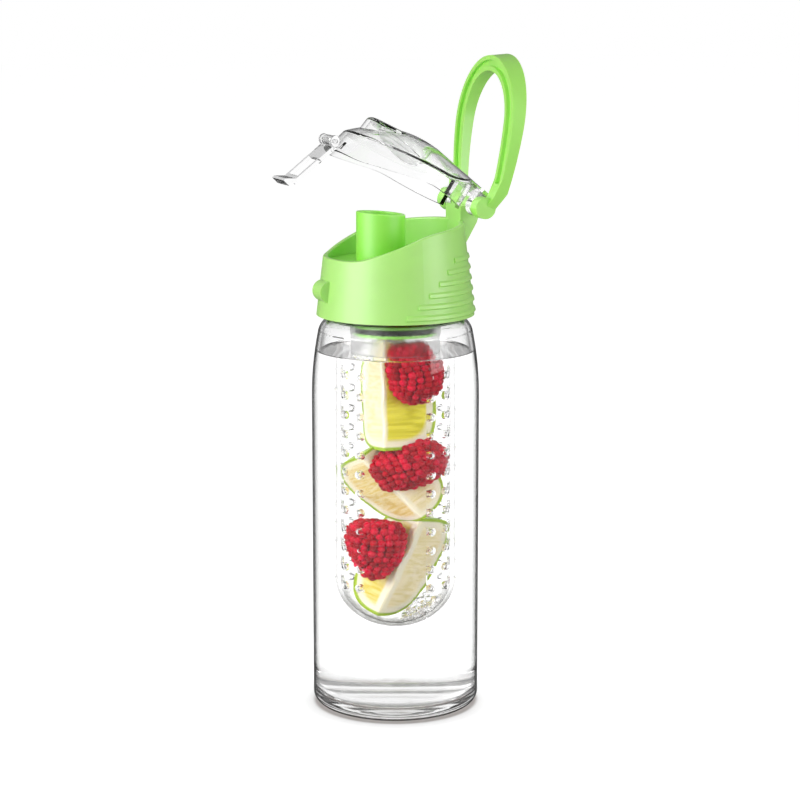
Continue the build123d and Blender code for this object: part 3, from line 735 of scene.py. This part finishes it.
# The edge levels below are painted shade: the dark rim of each clear piece where it is seen edge on.
clear_bottle = clear_material("clear_bottle", 1.5, 0.0, grey(0.985), grey(0.01), 0.62, 0.78)
use_material("bottle_body", shade_base(clear_bottle))
clear_basket = clear_material("clear_basket", 1.13, 0.0, grey(0.99), grey(0.2), 0.75, 0.98)
use_material("infuser_basket", shade_dome(clear_basket))
for node, finish, ior, roughness, middle, edge, end in (
    ("flip_lid", "clear_lid", 1.49, 0.0, 0.99, 0.06, 0.85),
    ("latch_flap", "clear_latch", 1.49, 0.0, 0.99, 0.03, 0.85),
    ("latch_pin", "latch_pin_plastic", 1.49, 0.1, 0.9, 0.15, 0.95),
    ("infuser_collar", "frosted_collar", 1.3, 0.3, 0.97, 0.7, 1.0),
    ("spout_seal", "seal_silicone", 1.35, 0.45, 0.9, 0.6, 1.0),
):
    use_material(node, clear_material(finish, ior, roughness, grey(middle), grey(edge), 0.6, end))
for node, finish, green in (
    ("cap_shell", "green_cap", (0.38, 0.75, 0.15)), ("cap_insert", "green_insert", (0.28, 0.80, 0.05)),
    ("carry_loop", "green_loop", (0.34, 0.76, 0.10)),
):
    use_material(node, opaque_material(finish, green, 0.5, 0.1, 0.25, (0.6, 1, 0.25), 4, gloss=1.0,
                                       coat=1.0, coat_roughness=0.38))
for node, finish, level, roughness, grain in (
    ("neck_seal", "seal_rubber", 0.7, 0.5, 0.2), ("infuser_seal", "infuser_rubber", 0.03, 0.45, 0.2),
    ("hinge_pin", "pin_steel", 0.6, 0.3, 0.1),
):
    use_material(node, opaque_material(finish, grey(level), roughness, grain))

add_water()
berry = raspberry_material()
add_raspberry("raspberry_top", place(6.6, 7.5, 149.5), (21.5, 17, 27), -8, 20, BERRY_OUTLINE, 11, berry)
add_raspberry("raspberry_middle", place(4.7, 2.5, 109), (23, 20, 28), -118, 60, BERRY_OUTLINE, 12, berry)
add_raspberry("raspberry_bottom", place(-6.8, 7, 72), (22, 18, 27), 4, 10, HEART_OUTLINE, 13, berry)
# Painted light and shade: each wedge's two cut faces get different flesh colours for how light falls on
# them; the yellow stands for light shining through the flesh and the orange for red light thrown from the
# raspberries.
pale_flesh = ((0.72, 0.62, 0.31), (0.82, 0.73, 0.50))
flesh_with_painted_glow = ((0.58, 0.52, 0.01), (0.80, 0.74, 0.06))
flesh_with_painted_berry_light = ((0.63, 0.47, 0.14), (0.74, 0.64, 0.36))
amber_flesh = ((0.64, 0.51, 0.08), (0.76, 0.66, 0.26))
add_lime("lime_top", place(-5, 8, 166), place(-4, 13, 117), 21, (-16, 54), (2.2, 5), 1,
         lime_material("lime_top_painted_light", pale_flesh, flesh_with_painted_glow, 0.02))
add_lime("lime_middle", place(-12, 8, 114), place(10, 9, 86.5), 20, (-38, 42), (4, 2.4), 2,
         lime_material("lime_middle_painted_light", flesh_with_painted_berry_light, pale_flesh, 0.04))
add_lime("lime_bottom", place(9, 6, 86), place(-6, 6, 42.5), 18, (-38, 36), (5, 3), 3,
         lime_material("lime_bottom_painted_light", amber_flesh, pale_flesh, 0.12))
add_bubbles()

scene = bpy.context.scene
scene.view_settings.view_transform = "Standard"
scene.cycles.max_bounces = 28
scene.cycles.transmission_bounces = 28
scene.cycles.glossy_bounces = 8
scene.cycles.transparent_max_bounces = 40
